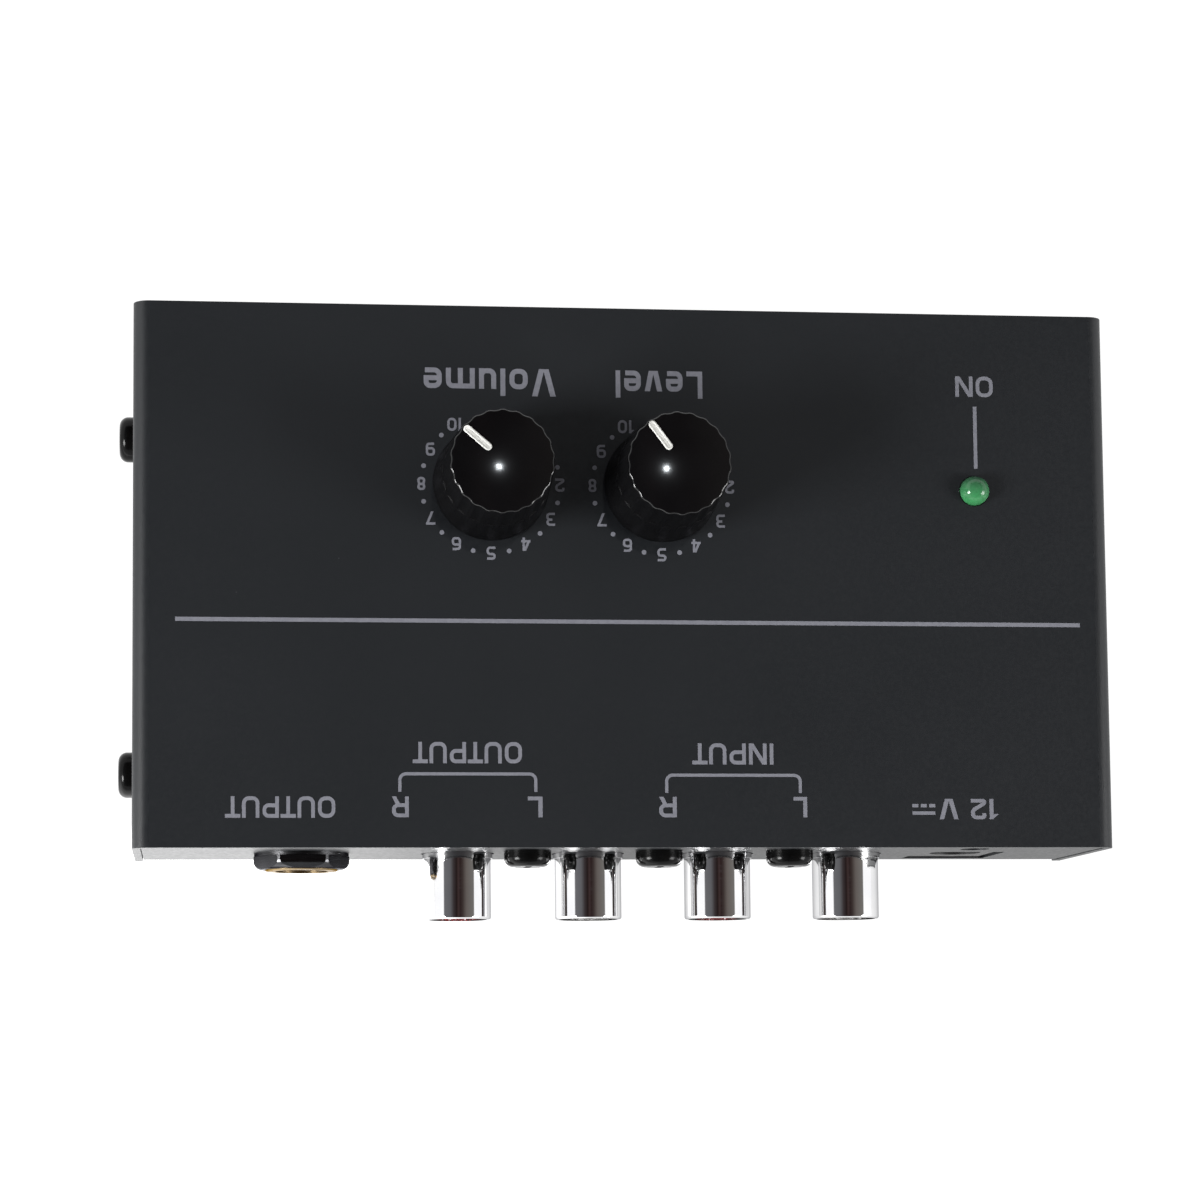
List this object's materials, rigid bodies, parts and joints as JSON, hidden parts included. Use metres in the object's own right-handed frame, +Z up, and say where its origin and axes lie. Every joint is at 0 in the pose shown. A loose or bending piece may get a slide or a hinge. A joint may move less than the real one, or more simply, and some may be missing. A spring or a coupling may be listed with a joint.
{
  "type": "phono preamp",
  "caption": "Small black sheet-metal phono preamp with fluted volume and level knobs, a power lamp, rear phono sockets, a quarter-inch jack and a power socket.",
  "frame": {"origin": "under the middle of the whole outline, knobs and sockets included, on the surface the rubber feet stand on", "axes": "+X to the right as seen from the front, +Y from the front to the rear panel with the sockets, +Z up"},
  "size_m": [0.124, 0.0742, 0.0438],
  "materials": {
    "case_paint": "black satin powder coat with printed grey lettering",
    "foot_rubber": "matte",
    "black_screw": "gloss black",
    "steel": "nickel plated",
    "chrome": "polished",
    "dark_nickel": "black nickel plated",
    "brass": "machined",
    "contact_metal": "nickel plated",
    "tinned_wire": "tinned",
    "knob_plastic": "gloss black",
    "pointer_white": "white",
    "black_plastic": "moulded",
    "red_plastic": "moulded",
    "white_plastic": "moulded",
    "lamp_green": "translucent green epoxy",
    "board_laminate": "green solder mask",
    "pot_plastic": "moulded",
    "pot_metal": "turned",
    "pot_element": "carbon track on laminate",
    "nylon": "moulded",
    "capacitor_sleeve": "heat-shrink sleeve",
    "film_capacitor_case": "dipped",
    "resistor_coat": "lacquered"
  },
  "bodies": {
    "case": {"axial_leads": "tinned_wire", "board_screws": "steel", "board_standoffs": "steel", "bottom_chassis": "case_paint", "bulk_capacitors": "capacitor_sleeve", "capacitor_leads": "tinned_wire", "circuit_board": "board_laminate", "cover_screws": "black_screw", "dc_socket_body": "black_plastic", "dc_socket_leaf": "contact_metal", "dc_socket_pin": "contact_metal", "diode": "black_plastic", "film_capacitors": "film_capacitor_case", "jack_body": "black_plastic", "jack_bushing": "brass", "jack_contacts": "contact_metal", "jack_nut": "dark_nickel", "jack_washer": "dark_nickel", "lamp_leads": "tinned_wire", "lamp_lens": "lamp_green", "lamp_spacer": "black_plastic", "level_pot_bushing": "pot_metal", "level_pot_element": "pot_element", "level_pot_housing": "pot_plastic", "level_pot_terminals": "tinned_wire", "op_amp_pins": "tinned_wire", "op_amps": "black_plastic", "rca_block": "black_plastic", "rca_contacts": "contact_metal", "rca_left_insulators": "white_plastic", "rca_right_insulators": "red_plastic", "rca_shells": "chrome", "rear_screws": "black_screw", "resistors": "resistor_coat", "rubber_feet": "foot_rubber", "small_capacitors": "capacitor_sleeve", "top_cover": "case_paint", "volume_pot_bushing": "pot_metal", "volume_pot_element": "pot_element", "volume_pot_housing": "pot_plastic", "volume_pot_terminals": "tinned_wire"},
    "volume_control": {"volume_knob": "knob_plastic", "volume_knob_pointer": "pointer_white", "volume_pot_shaft": "pot_metal", "volume_pot_wiper": "nylon"},
    "level_control": {"level_knob": "knob_plastic", "level_knob_pointer": "pointer_white", "level_pot_shaft": "pot_metal", "level_pot_wiper": "nylon"}
  },
  "joints": [
    {"name": "volume_turn", "type": "hinge", "parent": "case", "child": "volume_control", "pos_m": [0.01685, -0.01515, 0.0282], "axis": [0, 0, 1], "range_deg": [-18.2, 281.8]},
    {"name": "level_turn", "type": "hinge", "parent": "case", "child": "level_control", "pos_m": [-0.00405, -0.01515, 0.0282], "axis": [0, 0, 1], "range_deg": [-5.4, 294.6]}
  ]
}
